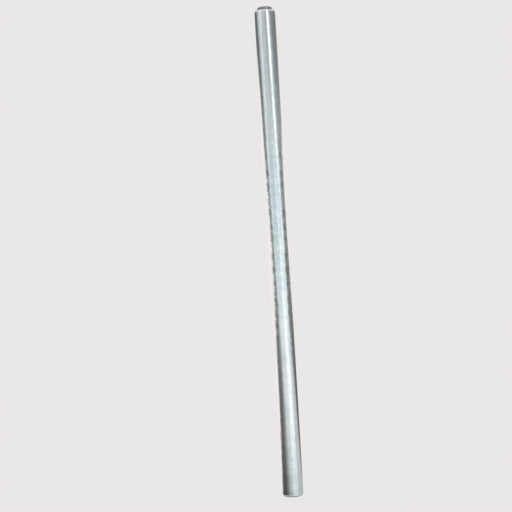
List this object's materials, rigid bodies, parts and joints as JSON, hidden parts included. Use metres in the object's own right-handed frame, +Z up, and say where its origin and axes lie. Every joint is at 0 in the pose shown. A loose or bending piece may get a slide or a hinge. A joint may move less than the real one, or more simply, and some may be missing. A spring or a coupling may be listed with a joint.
{
  "type": "threaded pipe nipple",
  "caption": "Long smooth polished steel pipe nipple with a female threaded bush sealed into each end.",
  "frame": {"origin": "on the tube's axis, midway between the two end faces", "axes": "+Y along the tube towards the end whose bush stands out further, +Z up; the nipple lies on its side"},
  "size_m": [0.0212, 0.5052, 0.0212],
  "materials": {
    "polished_steel": "bright, with fine circumferential polishing marks",
    "oxidised_steel": "dull warm-grey oxide",
    "seal_rubber": "matte moulded rubber",
    "washer_rubber": "dull brick-red rubber"
  },
  "bodies": {
    "root": {"pipe_tube": "polished_steel", "top_end_bush": "oxidised_steel", "top_outer_o_ring": "seal_rubber", "top_inner_o_ring": "seal_rubber", "top_socket_washer": "washer_rubber", "bottom_end_bush": "oxidised_steel", "bottom_outer_o_ring": "seal_rubber", "bottom_inner_o_ring": "seal_rubber", "bottom_socket_washer": "washer_rubber"}
  },
  "joints": []
}
